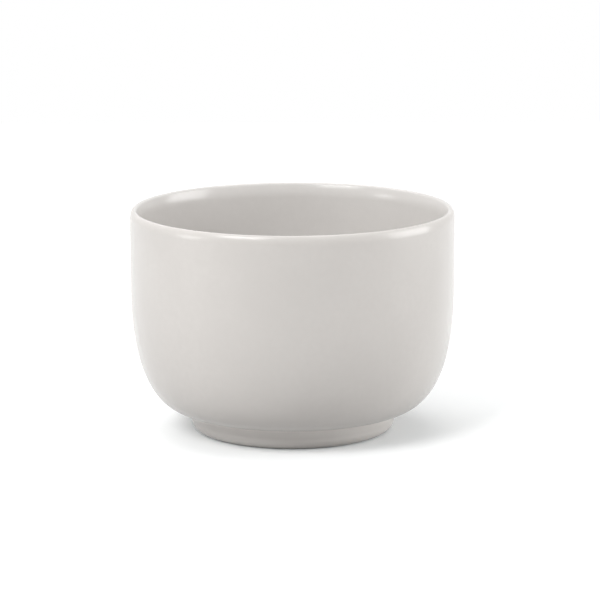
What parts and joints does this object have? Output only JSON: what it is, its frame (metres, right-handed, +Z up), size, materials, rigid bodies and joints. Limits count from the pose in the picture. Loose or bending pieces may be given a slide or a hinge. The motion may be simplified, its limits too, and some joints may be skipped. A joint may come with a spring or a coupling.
{
  "type": "bowl",
  "caption": "Round glazed stoneware bowl with a straight upper wall, a rounded lower body, a soft lip and a low foot ring, for serving and holding food.",
  "frame": {"origin": "centre of the circle on which the foot ring stands, on the table's surface", "axes": "+Z up along the bowl's turning axis, towards the mouth; +X and +Y are free, because the bowl is round"},
  "size_m": [0.12, 0.12, 0.083],
  "materials": {
    "stoneware": "bare fired clay, matt and slightly gritty",
    "glaze_inside": "warm light grey glaze, soft gloss",
    "glaze_outside": "warm light grey glaze, satin"
  },
  "bodies": {
    "root": {"stoneware_body": "stoneware", "foot_ring": "stoneware", "inner_glaze": "glaze_inside", "outer_glaze": "glaze_outside", "recess_glaze": "glaze_outside"}
  },
  "joints": []
}
